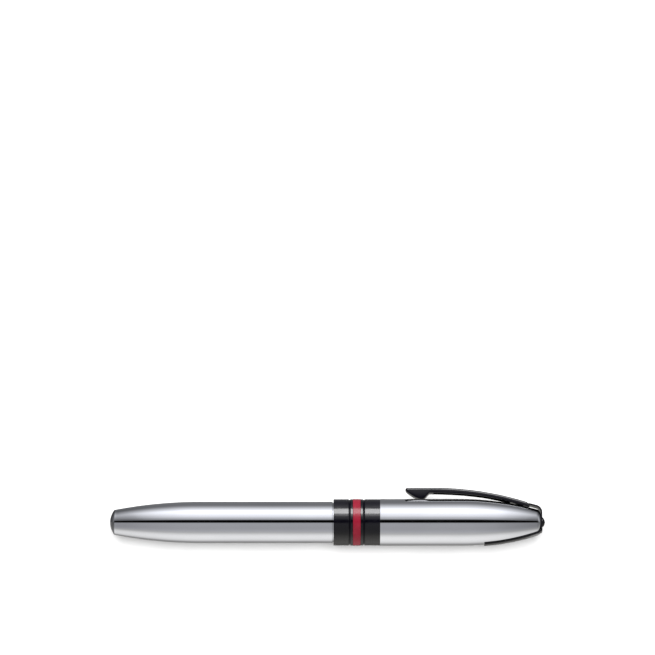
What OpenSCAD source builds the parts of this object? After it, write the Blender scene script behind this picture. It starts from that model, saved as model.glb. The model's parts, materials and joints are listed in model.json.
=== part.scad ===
// Capped fountain pen: slip cap with a hinged clip, screw-on barrel and piston converter.
// The pen's axis is X. The crown points to +X, the barrel's end to -X and the clip to +Y.
// The origin is on the axis, halfway along the capped pen.

/* [Pen] */
// Length of the capped pen
pen_len = 137; // [136.8:0.1:138]
// Diameter of the barrel
barrel_d = 13; // [12.96:0.02:13.06]
// Diameter of the cap's shell
cap_d = 14.7; // [14.66:0.02:14.9]
// Place of the cap's lip along the pen
lip_x = 1.9; // [1.8:0.05:2]

/* [Barrel] */
// Thickness of the barrel's wall
barrel_wall = 0.6; // [0.55:0.05:0.6]
// Distance from the middle to where the barrel starts to taper
taper_x = 40; // [36:1:44]
// Radius of the arc that tapers the barrel
taper_arc_r = 145; // [130:5:170]
// Radius of the barrel's domed end
tail_dome_r = 6.5; // [5.5:0.1:8]

/* [Cap] */
// Place where the band ends and the bright shell starts
band_end_x = 16.5; // [16:0.1:17]
// Place where the cap starts to taper
nose_x = 42; // [41:0.5:43]
// Radius of the arc that tapers the cap
nose_arc_r = 90; // [86:1:92]
// Width of the red ring
red_w = 2.4; // [2:0.1:2.8]

/* [Clip] */
// Place of the clip's tip along the pen
clip_tip_x = 24.55; // [23:0.05:25]
// Height of the clip's top above the pen's axis
clip_top = 10.8; // [10.6:0.02:10.9]
// Thickness of the clip's arm
clip_t = 1.4; // [1.2:0.05:1.5]
// Width of the clip at its root and of the crown strap
clip_w = 5.2; // [4.6:0.1:5.4]
// Width of the clip at its tip
clip_tip_w = 3.7; // [3:0.1:4.5]

/* [Converter] */
// Outer diameter of the converter
converter_d = 7.2; // [7:0.05:7.3]
// Travel of the piston
piston_stroke = 20; // [12:1:20]

/* [Hidden] */

arc_facets = 360;   // facets of the long arcs
turn_facets = 96;   // facets of the turned pieces
cut = 1;            // how far a cutting shape runs past the face that it cuts

half_len = pen_len / 2;
barrel_r = barrel_d / 2;
cap_r = cap_d / 2;

// Cap band
band_r = cap_r - 0.05;              // rings either side of the red one
groove_r = band_r - 0.2;            // floor of the two thin grooves
sleeve_r = cap_r - 0.4;             // outside of the sleeve under the rings
mouth_r = barrel_r;                 // bore of the cap's mouth
red_x = 8;                          // start of the red ring
land_w = 0.7;                       // narrow black lands beside the red ring
groove_w = 0.7;
sleeve_end_x = band_end_x + 3.5;

// Cap nose and crown
cap_wall = 0.4;
cap_end_x = half_len - 1.4;         // flat end of the shell
end_wall = 0.9;
block_x = 57.3;                     // start of the block that fills the crown
block_end_x = cap_end_x - end_wall;
nut_pocket_x = block_end_x - 2;
button_shank_r = 0.8;
button_r = 1.65;
strap_t = 0.45;
strap_x = half_len - 0.9;           // outer face of the strap's end
strap_corner_r = 1.4;
strap_tail_x = 49.4;                // end of its long leg
strap_gap_clip = 0.6;               // space under the short leg
strap_gap_tail = 0.03;              // space under the long leg

// Clip
clip_root_r = 3.45;                 // round end of the root, about the pin
clip_root_gap = 0.08;               // from there to the strap
clip_arc_x = 33;                    // where the arm starts to curve down
clip_arc_r = 99;
clip_sheet = 0.5;                   // thickness of the pressed sheet round its channel
channel_x = 33.5;                   // channel in the arm's underside
channel_end_x = 57.5;
foot_x = 29;                        // foot that presses on the cap
foot_w = 1.4;
foot_low = cap_r + 0.07;
pivot_x = 60.5;
pivot_y = 3.6;
pin_r = 0.5;
pin_len = 5.6;
pin_clear = 0.04;
tang_w = 2.8;
tang_r = 1.2;
slot_w = 3.1;
slot_x = 58.6;                      // slot in the shell, under the clip's root
slot_end_x = 62.3;

// Section
flange_x = 3.5;
section_x = flange_x + 1;
collar_r = 5.9;
collar_end_x = 11.5;
snap_x = 8.2;                       // groove of the snap ring
snap_w = 1;
snap_floor_r = 5.5;
grip_r = 5.6;
waist_x = 29;
waist_r = 4.3;
flare_x = 33;
flare_r = 4.9;
section_end_x = 34.5;
nipple_r = 5.2;                     // outside of the coupling's threaded part
coupling_bore_r = 3.9;
coupling_x = -8;
socket_r = 4.6;                     // bore of the section round the coupling
socket_x = 12;

// Nib, feed and housing
housing_r = 3.55;
housing_x = 19;
inlet_x = 12;                       // end of the inlet that the converter fits on
inlet_r = 1.9;
nib_r = 2.75;
nib_t = 0.25;
nib_x = 22;
nib_shoulder_x = 39;
nib_tip_x = 55;
nib_tip_r = 0.5;
breather_x = 42;
feed_x = 20;
feed_neck_x = 37;
feed_tip_x = 49;

// Barrel
shoulder_x = lip_x - 0.3;
tenon_r = barrel_r - 0.3;
tenon_x = flange_x - 0.1;
cavity_x = 3.5 - half_len;          // closed end of the barrel's hollow
dome_x = tail_dome_r - half_len;    // centre of the domed end
bore_r = barrel_r - barrel_wall;
insert_r = nipple_r + 0.08;
o_ring_x = 2.6;
o_ring_w = 0.8;

// Converter
converter_r = converter_d / 2;
chamber_r = converter_r - 0.6;
mouth_x = 16;
mouth_wall_x = 12.5;
sleeve_x = -26;
knob_x = -50;
knob_end_x = -56.5;
rod_r = 1.2;
rod_bore_r = rod_r + 0.05;
piston_x = 6;                       // back of the piston when it is fully forward
piston_len = 3;
rod_len = 40;
rod_end_x = piston_x - rod_len;
stem_x = -30;
stem_r = 2.3;
ball_r = 0.9;

chrome = "#b9bcc4";
black = "#23232a";
red = "#9b1c2e";
resin = "#1b1b1f";
steel = "#c9ccd1";
brass = "#b08d4f";
clear = "#d9e2e6";

// Height of the cap's surface above the axis at a place on its nose
function nose_height(x) =
    cap_r - nose_arc_r + sqrt(pow(nose_arc_r, 2) - pow(x - nose_x, 2));

// Spins a profile, drawn as (radius, place), about the pen's axis
module turned() {
    rotate([0, 90, 0]) rotate_extrude($fn = turn_facets) children();
}

// Turns a profile drawn as (radius, place) into a plate of a given width, upright on XY
module plate(width) {
    linear_extrude(width, center = true) mirror([1, -1, 0]) children();
}

// Rectangle of a profile, between two radii and two places
module band(r_in, r_out, x0, x1) {
    translate([r_in, x0]) square([r_out - r_in, x1 - x0]);
}

module tube(r_in, r_out, x0, x1) {
    turned() band(r_in, r_out, x0, x1);
}

// Box from one corner to the other
module block(low, high) {
    translate(low) cube(high - low);
}

// Profile of the cap's outside, moved in by a distance
module cap_form(inset, x0, x1) {
    intersection() {
        band(0, cap_r + 3, x0, x1);
        union() {
            band(0, cap_r - inset, 0, nose_x);
            translate([cap_r - nose_arc_r, nose_x])
                circle(r = nose_arc_r - inset, $fn = arc_facets);
        }
    }
}

// Profile of the barrel's outside, moved in by a distance
module barrel_form(inset, x0, x1) {
    intersection() {
        band(0, barrel_r + 1, x0, x1);
        union() {
            band(0, barrel_r - inset, -taper_x, x1);
            translate([barrel_r - taper_arc_r, -taper_x])
                circle(r = taper_arc_r - inset, $fn = arc_facets);
        }
    }
}

// ---- Cap ----

module cap_shell() {
    color(chrome) difference() {
        turned() difference() {
            cap_form(0, band_end_x, cap_end_x);
            cap_form(cap_wall, band_end_x - cut, block_end_x);
            band(-cut, button_shank_r + 0.05, block_end_x - cut, cap_end_x + cut);
        }
        block([slot_x, 2, -slot_w / 2], [slot_end_x, cap_r, slot_w / 2]);
    }
}

module cap_band_sleeve() {
    color(resin) tube(mouth_r, sleeve_r, lip_x + 0.4, sleeve_end_x);
}

// Black ring at the cap's lip, with its thin groove and the land beside the red ring
module cap_lip_ring() {
    color(black) turned() difference() {
        union() {
            band(sleeve_r, band_r, lip_x, red_x);
            band(mouth_r, sleeve_r + 0.01, lip_x, lip_x + 0.4);
        }
        band(groove_r, band_r + cut, red_x - land_w - groove_w, red_x - land_w);
    }
}

module cap_red_ring() {
    color(red) tube(sleeve_r, cap_r, red_x, red_x + red_w);
}

module cap_upper_ring() {
    start = red_x + red_w;
    color(black) turned() difference() {
        band(sleeve_r, band_r, start, band_end_x);
        band(groove_r, band_r + cut, start + land_w, start + land_w + groove_w);
    }
}

// Ring inside the mouth that the section's snap ring slides through
module cap_snap_collar() {
    lead = 0.4;
    land_r = mouth_r - 0.2;
    color(steel) turned() polygon([
        [mouth_r, snap_x - 1.2], [mouth_r - 0.05, snap_x - 1.2],
        [land_r, snap_x - 1.2 + lead], [land_r, snap_x + 2 - lead],
        [mouth_r - 0.05, snap_x + 2], [mouth_r, snap_x + 2]
    ]);
}

// Liner that keeps air off the nib, with a closed end ahead of it
module inner_cap() {
    wide_r = cap_r - 1.2;
    step_x = section_end_x + 0.7;
    step_r = 4.6;
    narrow_x = 50;
    narrow_r = 3.8;
    end_x = block_x - 0.7;
    color(resin) turned() difference() {
        cap_form(cap_wall + 0.1, sleeve_end_x + 0.1, block_x);
        band(-cut, wide_r, sleeve_end_x - cut, step_x);
        band(-cut, step_r, step_x - cut, narrow_x);
        band(-cut, narrow_r, narrow_x - cut, end_x);
    }
}

// Soft ring that the front of the section presses on
module inner_cap_seal() {
    color(black) tube(4.35, 5.7, section_end_x + 0.1, section_end_x + 0.7);
}

// Block in the crown that holds the clip's pin and the nut
module crown_block() {
    color(resin) difference() {
        turned() difference() {
            cap_form(cap_wall + 0.05, block_x, block_end_x);
            band(-cut, button_shank_r + 0.05, pivot_x + 2, block_end_x + cut);
            band(-cut, 2.6, nut_pocket_x, block_end_x + cut);
        }
        block([slot_x, 0.4, -slot_w / 2], [slot_end_x, cap_r, slot_w / 2]);
        block([slot_x - 0.6, 0.4, -slot_w / 2], [slot_x + cut, pivot_y - 0.4, slot_w / 2]);
        translate([pivot_x, pivot_y, 0]) cylinder(r = pin_r, h = pin_len + cut, center = true, $fn = 48);
    }
}

// Profile of one leg of the strap, with half of the plate across the crown
module strap_leg(gap, x_from) {
    out = gap + strap_t;
    inner_r = nose_arc_r + out - strap_corner_r;
    corner_x = strap_x - strap_corner_r;
    run = corner_x - nose_x;
    corner_y = cap_r - nose_arc_r + sqrt(pow(inner_r, 2) - pow(run, 2));
    tangent_x = corner_x + strap_corner_r * run / inner_r;
    difference() {
        union() {
            cap_form(-out, x_from, tangent_x);
            translate([corner_y, corner_x]) circle(r = strap_corner_r, $fn = turn_facets);
            band(0, corner_y, corner_x, strap_x);
        }
        cap_form(-gap, x_from - cut, strap_x - strap_t);
    }
}

module crown_strap() {
    color(black) difference() {
        union() {
            plate(clip_w) strap_leg(strap_gap_clip, pivot_x + clip_root_r / 2);
            mirror([0, 1, 0]) plate(clip_w) strap_leg(strap_gap_tail, strap_tail_x);
        }
        tube(0, button_shank_r + 0.05, strap_x - 3, strap_x + cut);
        translate([pivot_x, pivot_y, 0])
            cylinder(r = clip_root_r + clip_root_gap, h = clip_w + cut, center = true,
                $fn = turn_facets);
    }
}

// Domed screw that holds the strap
module crown_button() {
    dome_h = half_len - strap_x;
    dome_r = (pow(button_r, 2) + pow(dome_h, 2)) / (2 * dome_h);
    color(black) turned() union() {
        intersection() {
            band(0, button_r, strap_x, half_len);
            translate([0, half_len - dome_r]) circle(r = dome_r, $fn = turn_facets);
        }
        band(0, button_shank_r, nut_pocket_x - 0.5, strap_x + 0.01);
    }
}

module crown_washer() {
    color(steel) tube(button_shank_r + 0.05, 2.4, block_end_x - 0.4, block_end_x);
}

module crown_nut() {
    color(steel) difference() {
        translate([nut_pocket_x, 0, 0]) rotate([0, 90, 0])
            cylinder(r = 2.3, h = 1.6, $fn = 6);
        tube(0, button_shank_r, nut_pocket_x - cut, block_end_x);
    }
}

// Leaf spring that pushes the tail of the clip's tang
module clip_spring() {
    color(steel) block([slot_x - 0.6, 0.4, -1.2], [slot_x - 0.4, pivot_y - 0.5, 1.2]);
}

// ---- Clip ----

// Side outline of the clip's arm and foot, drawn on XY
module clip_outline() {
    low = clip_top - clip_t;
    union() {
        intersection() {
            translate([clip_arc_x, clip_top - clip_arc_r]) difference() {
                circle(r = clip_arc_r, $fn = arc_facets);
                circle(r = clip_arc_r - clip_t, $fn = arc_facets);
            }
            union() {
                translate([clip_arc_x, 0]) square([pivot_x - clip_arc_x, clip_top + cut]);
                translate([pivot_x, pivot_y]) circle(r = clip_root_r, $fn = turn_facets);
            }
        }
        polygon([
            [clip_tip_x, clip_top - 0.6], [clip_tip_x + 0.65, clip_top],
            [clip_arc_x, clip_top], [clip_arc_x, low], [foot_x + foot_w + 1.9, low],
            [foot_x + foot_w, foot_low], [foot_x, foot_low],
            [foot_x - 1.6, foot_low + 0.55], [clip_tip_x + 1.4, clip_top - 1.8],
            [clip_tip_x + 0.25, clip_top - 1]
        ]);
    }
}

// Hollow of the pressed arm, open on its underside
module clip_channel() {
    side = clip_tip_w / 2 - clip_sheet;
    end_side = clip_w / 2 - clip_sheet;
    intersection() {
        linear_extrude(clip_w, center = true) intersection() {
            translate([channel_x, 0]) square([channel_end_x - channel_x, clip_top]);
            translate([clip_arc_x, clip_top - clip_arc_r])
                circle(r = clip_arc_r - clip_sheet, $fn = arc_facets);
        }
        rotate([90, 0, 0]) linear_extrude(3 * cap_r, center = true) polygon([
            [channel_x, -side], [channel_end_x, -end_side],
            [channel_end_x, end_side], [channel_x, side]
        ]);
    }
}

// Tang that passes through the cap's slot to the pin
module clip_tang() {
    translate([0, 0, -tang_w / 2]) linear_extrude(tang_w) {
        translate([pivot_x, pivot_y]) circle(r = tang_r, $fn = 64);
        translate([pivot_x - tang_r, pivot_y]) square([2 * tang_r, 2.4]);
    }
}

module clip_arm() {
    widen_x = 55;
    root_x = pivot_x + clip_root_r;
    color(black) difference() {
        union() {
            difference() {
                intersection() {
                    linear_extrude(clip_w + cut, center = true) clip_outline();
                    rotate([90, 0, 0]) linear_extrude(3 * cap_r, center = true) polygon([
                        [clip_tip_x, -clip_tip_w / 2], [widen_x, -clip_w / 2],
                        [root_x, -clip_w / 2], [root_x, clip_w / 2],
                        [widen_x, clip_w / 2], [clip_tip_x, clip_tip_w / 2]
                    ]);
                }
                clip_channel();
                turned() cap_form(-0.1, nose_x, half_len);
                turned() cap_form(-0.35, pivot_x, half_len);
            }
            clip_tang();
        }
        translate([pivot_x, pivot_y, 0])
            cylinder(r = pin_r + pin_clear, h = clip_w, center = true, $fn = 48);
    }
}

// Pin that is pressed into the block, and that the clip's tang turns on
module clip_pin() {
    color(steel) translate([pivot_x, pivot_y, 0])
        cylinder(r = pin_r, h = pin_len, center = true, $fn = 48);
}

// ---- Section ----

// Sprung ring in the section's collar that grips the cap
module cap_snap_ring() {
    color(steel) tube(snap_floor_r + 0.05, 6.25, snap_x + 0.05, snap_x + snap_w - 0.05);
}

module grip_section() {
    color(resin) turned() difference() {
        polygon([
            [0, section_x], [collar_r, section_x], [collar_r, collar_end_x],
            [grip_r, collar_end_x + 0.3], [waist_r, waist_x], [flare_r, flare_x], [0, flare_x]
        ]);
        band(snap_floor_r, collar_r + cut, snap_x, snap_x + snap_w);
        band(-cut, socket_r, section_x - cut, socket_x);
        band(-cut, coupling_bore_r, socket_x - cut, housing_x);
        band(-cut, housing_r, housing_x - cut, flare_x + cut);
    }
}

module section_end_ring() {
    color(chrome) turned() difference() {
        polygon([
            [housing_r, flare_x], [flare_r, flare_x], [flare_r, section_end_x - 0.4],
            [flare_r - 0.4, section_end_x], [housing_r, section_end_x]
        ]);
    }
}

// Metal coupling between the section and the barrel
module section_coupling() {
    color(chrome) turned() {
        band(coupling_bore_r, nipple_r, coupling_x, flange_x + 0.01);
        band(coupling_bore_r, 6.1, flange_x, section_x);
        band(coupling_bore_r, socket_r, section_x - 0.01, socket_x);
    }
}

module nib_housing() {
    color(resin) turned() difference() {
        union() {
            band(0, inlet_r, inlet_x, housing_x);
            band(0, coupling_bore_r, housing_x - 2, housing_x);
            band(0, housing_r, housing_x - 0.01, section_end_x - 0.5);
        }
        band(-cut, nib_r, feed_x, section_end_x + cut);
        band(-cut, 0.6, inlet_x - cut, feed_x + cut);
    }
}

// Outside of the nib's bent sheet, moved in by a distance
module nib_form(inset) {
    polygon([
        [0, nib_x], [nib_r - inset, nib_x], [nib_r - inset, nib_shoulder_x],
        [nib_tip_r - inset, nib_tip_x], [0, nib_tip_x]
    ]);
}

module nib() {
    shoulder_w = nib_r;
    color(steel) union() {
        difference() {
            intersection() {
                turned() difference() {
                    nib_form(0);
                    nib_form(nib_t);
                }
                linear_extrude(nib_r + cut) polygon([
                    [nib_x, -shoulder_w], [nib_shoulder_x, -shoulder_w], [nib_tip_x, -nib_tip_r],
                    [nib_tip_x, nib_tip_r], [nib_shoulder_x, shoulder_w], [nib_x, shoulder_w]
                ]);
            }
            translate([breather_x, 0, 0]) cylinder(r = 0.5, h = nib_r + cut, $fn = 32);
            block([breather_x, -0.05, -cut], [nib_tip_x + cut, 0.05, nib_r + cut]);
        }
        translate([nib_tip_x, 0, nib_tip_r / 2]) sphere(r = 0.42, $fn = 32);
    }
}

// Finned ink feed under the nib
module feed() {
    core_r = nib_r - nib_t;
    color(resin) difference() {
        union() {
            turned() polygon([
                [0, feed_x], [core_r, feed_x], [core_r, feed_neck_x],
                [0.5, feed_tip_x], [0, feed_tip_x]
            ]);
            intersection() {
                tube(0, nib_r, feed_x, feed_neck_x);
                block([feed_x, -nib_r, -nib_r], [feed_neck_x, nib_r, 0]);
            }
        }
        for (i = [0 : 4])
            intersection() {
                tube(1.7, nib_r + cut, section_end_x + 0.1 + 0.5 * i,
                    section_end_x + 0.35 + 0.5 * i);
                block([feed_x, -nib_r - cut, -nib_r - cut], [feed_tip_x, nib_r + cut, -0.6]);
            }
    }
}

// ---- Barrel ----

module barrel_o_ring() {
    color(black) tube(nipple_r + 0.05, bore_r - 0.05, o_ring_x, o_ring_x + o_ring_w);
}

module barrel_shell() {
    color(chrome) turned() difference() {
        union() {
            intersection() {
                barrel_form(0, -half_len, shoulder_x);
                union() {
                    band(0, barrel_r + cut, dome_x, shoulder_x);
                    translate([0, dome_x]) circle(r = tail_dome_r, $fn = arc_facets);
                }
            }
            band(0, tenon_r, shoulder_x - cut, tenon_x);
        }
        barrel_form(barrel_wall, cavity_x, shoulder_x);
        band(-cut, bore_r, shoulder_x - cut, tenon_x + cut);
    }
}

module barrel_thread_insert() {
    color(brass) tube(insert_r, bore_r, coupling_x, o_ring_x - 0.1);
}

// ---- Converter ----

module converter_barrel() {
    color(clear, 0.5) turned() difference() {
        band(0, converter_r, sleeve_x, mouth_x);
        band(-cut, chamber_r, sleeve_x - cut, mouth_wall_x);
        band(-cut, inlet_r + 0.05, mouth_wall_x - cut, mouth_x + cut);
    }
}

module converter_sleeve() {
    color(chrome) tube(chamber_r, converter_r, knob_x, sleeve_x);
}

module rod_bush() {
    color(resin) tube(rod_bore_r, chamber_r, sleeve_x - 2, sleeve_x + 1);
}

module agitator_ball() {
    color(steel) translate([piston_x + piston_len + 1.7, 0, ball_r + 0.05 - chamber_r])
        sphere(r = ball_r, $fn = 32);
}

// Turning knob with the hollow stem that drives the rod
module converter_knob() {
    stem_end_x = knob_x - 0.1;
    color(resin) turned() difference() {
        union() {
            band(0, stem_r, stem_end_x - 0.01, stem_x);
            band(0, converter_r - 0.2, knob_end_x, stem_end_x);
        }
        band(-cut, rod_bore_r, rod_end_x - piston_stroke - 0.5, stem_x + cut);
    }
}

module piston_head() {
    seal_w = 0.7;
    color(resin) turned() difference() {
        band(0, chamber_r - 0.1, piston_x, piston_x + piston_len);
        for (x = [piston_x + 0.4, piston_x + piston_len - 0.4 - seal_w])
            band(chamber_r - 0.7, chamber_r, x, x + seal_w);
    }
}

// Two rings that seal the piston in its chamber
module piston_seals() {
    seal_w = 0.7;
    color(black) for (x = [piston_x + 0.4, piston_x + piston_len - 0.4 - seal_w])
        tube(chamber_r - 0.7, chamber_r - 0.03, x, x + seal_w);
}

module piston_rod() {
    color(steel) tube(0, rod_r, rod_end_x, piston_x);
}

cap_shell();
cap_band_sleeve();
cap_lip_ring();
cap_red_ring();
cap_upper_ring();
cap_snap_collar();
inner_cap();
inner_cap_seal();
crown_block();
crown_strap();
crown_button();
crown_washer();
crown_nut();
clip_spring();
clip_arm();
clip_pin();
cap_snap_ring();
grip_section();
section_end_ring();
section_coupling();
nib_housing();
nib();
feed();
barrel_o_ring();
barrel_shell();
barrel_thread_insert();
converter_barrel();
converter_sleeve();
rod_bush();
agitator_ball();
converter_knob();
piston_head();
piston_seals();
piston_rod();
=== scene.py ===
import json
import math

import bmesh
import bpy
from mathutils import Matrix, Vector


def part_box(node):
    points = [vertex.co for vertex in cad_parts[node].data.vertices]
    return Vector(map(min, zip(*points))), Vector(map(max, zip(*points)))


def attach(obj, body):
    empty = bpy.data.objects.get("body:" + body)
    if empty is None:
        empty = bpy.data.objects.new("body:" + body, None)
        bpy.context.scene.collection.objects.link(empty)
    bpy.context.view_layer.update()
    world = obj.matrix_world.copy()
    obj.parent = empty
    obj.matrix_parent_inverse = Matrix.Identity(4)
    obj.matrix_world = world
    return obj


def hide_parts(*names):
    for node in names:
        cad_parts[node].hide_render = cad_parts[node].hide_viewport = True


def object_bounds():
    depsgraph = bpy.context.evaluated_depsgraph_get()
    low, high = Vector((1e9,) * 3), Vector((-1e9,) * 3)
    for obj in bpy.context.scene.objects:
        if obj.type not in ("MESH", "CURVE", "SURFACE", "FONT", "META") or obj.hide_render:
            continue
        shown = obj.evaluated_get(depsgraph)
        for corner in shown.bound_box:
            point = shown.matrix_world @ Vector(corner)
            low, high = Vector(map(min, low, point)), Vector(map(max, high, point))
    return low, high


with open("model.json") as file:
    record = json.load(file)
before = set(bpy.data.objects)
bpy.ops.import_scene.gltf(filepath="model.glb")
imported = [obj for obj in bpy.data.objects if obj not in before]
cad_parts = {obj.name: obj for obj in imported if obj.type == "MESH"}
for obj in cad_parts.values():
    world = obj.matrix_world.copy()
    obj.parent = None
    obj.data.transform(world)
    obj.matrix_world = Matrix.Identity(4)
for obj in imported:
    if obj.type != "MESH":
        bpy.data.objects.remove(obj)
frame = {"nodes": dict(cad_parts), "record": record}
cad_low, cad_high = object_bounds()

MM = 0.001
TAU = 2 * math.pi
SEGMENTS = 160          # round the pen
SMALL_SEGMENTS = 96     # round a small piece
ARC_STEPS = 5           # along a small rounded edge

# Measures of the design, in mm, that a node's box doesn't give. Places are along the pen, from its middle.
TAPER_X, TAPER_ARC = -40.0, 145.0               # where the barrel's taper starts, and its radius
TAIL_DOME = 6.5                                 # radius of the barrel's end
NOSE_X, NOSE_ARC = 42.0, 90.0                   # where the cap's taper starts, and its radius
SHELL_WALL = 0.4
GROOVE_W = 0.7                                  # of the band's two grooves
CLIP_ARC_X, CLIP_ARC, CLIP_T = 33.0, 99.0, 1.4  # where the clip's bend starts, its radius, thickness
CLEAR_FRONT, CLEAR_BACK = 0.1, 0.35             # from cap to clip, before and behind the pivot
STRAP_T = 0.45
STRAP_START_X, STRAP_END_X = 63.5, 49.4         # ends of the short leg and of the long leg
STRAP_CORNER_CLIP, STRAP_CORNER_TAIL = 2.4, 1.8
STRAP_GAP_CLIP, STRAP_GAP_TAIL = 0.6, 0.03
PIVOT = (60.5, 3.6)
ROOT_R, ROOT_GAP = 3.45, 0.08                   # round end of the clip's root, about the pivot
PITCH = 0.8                                     # of the barrel's screw thread


# ---------------------------------------------------------------- places from the frame

def span(node):
    """First and last place of a node along the pen, and its outer radius or half width, in mm."""
    low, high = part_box(node)
    return low[0] / MM, high[0] / MM, high[2] / MM


BARREL_X0, _, BARREL_R = span("barrel_shell")
LIP_X, LIP_X1, BAND_R = span("cap_lip_ring")
RED_X0, RED_X1, CAP_R = span("cap_red_ring")
UPPER_X0, UPPER_X1, _ = span("cap_upper_ring")
SHELL_X0, SHELL_X1, _ = span("cap_shell")
_, STRAP_X, STRAP_W = span("crown_strap")
_, CROWN_X, _ = span("crown_button")
CLIP_X0, CLIP_X1, CLIP_W = span("clip_arm")
CLIP_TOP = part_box("clip_arm")[1][1] / MM
SHOULDER_X = LIP_X - 0.3        # where the barrel steps down to enter the cap
SLEEVE_R = CAP_R - SHELL_WALL   # outside of the sleeve that carries the band's rings
SLOT_OF = {part["node"]: part["material_slot"] for part in frame["record"]["subparts"]}
BODY_OF = {node: body for body, nodes in frame["record"]["behaviour"]["bodies"].items()
           for node in nodes}


def nose_height(x, lift=0.0):
    """Height of the cap's surface above the axis at a place on its nose."""
    return CAP_R - NOSE_ARC + math.sqrt((NOSE_ARC + lift) ** 2 - (x - NOSE_X) ** 2)


def taper_height(x):
    """Height of the barrel's surface above the axis at a place on its taper."""
    return BARREL_R - TAPER_ARC + math.sqrt(TAPER_ARC ** 2 - (x - TAPER_X) ** 2)


# ---------------------------------------------------------------- mesh helpers

def steps(a, b, n):
    """n + 1 numbers from a to b."""
    return [a + (b - a) * i / n for i in range(n + 1)]


def eased(corners, closed=False):
    """An outline through corners (x, y, edge radius), with each edge radius as a small arc."""
    points = []
    count = len(corners)
    for i, corner in enumerate(corners):
        radius = corner[2] if len(corner) > 2 else 0
        here = Vector(corner[:2])
        ends = not closed and i in (0, count - 1)
        if ends or not radius:
            points.append(tuple(here))
            continue
        to_last = Vector(corners[i - 1][:2]) - here
        to_next = Vector(corners[(i + 1) % count][:2]) - here
        half = to_last.angle(to_next) / 2
        back = min(radius / math.tan(half), 0.49 * to_last.length, 0.49 * to_next.length)
        start = here + to_last.normalized() * back
        end = here + to_next.normalized() * back
        for t in steps(0, 1, ARC_STEPS):
            points.append(tuple(start * (1 - t) ** 2 + here * 2 * t * (1 - t) + end * t ** 2))
    return points


def finish_mesh(node, bm, sharp=32):
    """Makes a CAD node's visible piece from a bmesh, smooth except at its sharp edges."""
    bmesh.ops.remove_doubles(bm, verts=bm.verts, dist=1e-8)
    bmesh.ops.recalc_face_normals(bm, faces=bm.faces)
    mesh = bpy.data.meshes.new(node + "_skin")
    bm.to_mesh(mesh)
    bm.free()
    mesh.materials.append(LOOKS[SLOT_OF[node]])
    mesh.shade_smooth()
    mesh.set_sharp_from_angle(angle=math.radians(sharp))
    piece = bpy.data.objects.new(node + "_skin", mesh)
    bpy.context.scene.collection.objects.link(piece)
    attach(piece, BODY_OF[node])
    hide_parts(node)
    return piece


def add_turned(bm, outline, closed, segments=SEGMENTS, reach=None):
    """Adds a turned surface to bm. The outline is (place, radius) in mm; reach bends the radius."""
    loops = []
    for x, r in outline:
        if r < 1e-6:
            loops.append([bm.verts.new((x * MM, 0, 0))])
            continue
        loop = []
        for i in range(segments):
            a = TAU * i / segments
            bent = reach(x, r, a) if reach else r
            loop.append(bm.verts.new((x * MM, bent * math.cos(a) * MM, bent * math.sin(a) * MM)))
        loops.append(loop)
    following = loops[1:] + (loops[:1] if closed else [])
    for near, far in zip(loops, following):
        if len(near) == len(far) == 1:
            continue
        for i in range(segments):
            j = (i + 1) % segments
            if len(near) == 1:
                bm.faces.new((near[0], far[i], far[j]))
            elif len(far) == 1:
                bm.faces.new((near[i], far[0], near[j]))
            else:
                bm.faces.new((near[i], far[i], far[j], near[j]))


def turned(node, outline, closed=True, **more):
    """A turned piece. A closed outline is a ring or tube; an open one starts and ends on the axis."""
    bm = bmesh.new()
    add_turned(bm, outline, closed, **more)
    return finish_mesh(node, bm)


def ring(node, r_in, r_out, edge_in=0.05, edge_out=0.1, **more):
    """A plain ring or tube as long as its CAD node, with eased edges."""
    x0, x1, _ = span(node)
    return turned(node, eased([
        ((x0 + x1) / 2, r_in), (x0, r_in, edge_in), (x0, r_out, edge_out),
        ((x0 + x1) / 2, r_out), (x1, r_out, edge_out), (x1, r_in, edge_in)], closed=True), **more)


def thread(x0, x1, radius, depth, pitch, outside=True):
    """Radius rule for add_turned: a screw thread between x0 and x1, which fades in at its ends."""
    steepness = 1.35    # over 1, so that the thread has flat tops and floors

    def reach(x, r, a):
        if abs(r - radius) > 1e-3 or not x0 < x < x1:
            return r
        phase = (x / pitch + a / TAU) % 1
        wave = 0.5 + 0.5 * max(-1, min(1, steepness * math.cos(TAU * phase)))
        fade = min(1, (x - x0) / pitch, (x1 - x) / pitch)
        cut = depth * fade * wave
        return r - cut if outside else r + cut
    return reach


def add_loft(bm, sections):
    """Adds a closed skin through sections, each a list of the same number of points in mm."""
    rows = [[bm.verts.new(Vector(p) * MM) for p in section] for section in sections]
    count = len(rows[0])
    for near, far in zip(rows, rows[1:]):
        for i in range(count):
            j = (i + 1) % count
            bm.faces.new((near[i], far[i], far[j], near[j]))
    bm.faces.new(rows[0])
    bm.faces.new(rows[-1])


def oval_box(half_w, low, high, edge_low, edge_high):
    """Points (across, up) round a box with rounded edges, the same number for every call."""
    most = 0.98 * min(half_w, (high - low) / 2)
    top, base = min(edge_high, most), min(edge_low, most)
    corners = [(half_w - top, high - top, top, 0), (-half_w + top, high - top, top, 90),
               (-half_w + base, low + base, base, 180), (half_w - base, low + base, base, 270)]
    points = []
    for across, up, radius, start in corners:
        for turn in range(0, 91, 15):
            a = math.radians(start + turn)
            points.append((across + radius * math.cos(a), up + radius * math.sin(a)))
    return points


# ---------------------------------------------------------------- materials

def add_node(tree, kind, **settings):
    """Adds a shader node to a node tree."""
    made = tree.nodes.new("ShaderNode" + kind)
    for key, value in settings.items():
        setattr(made, key, value)
    return made


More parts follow.
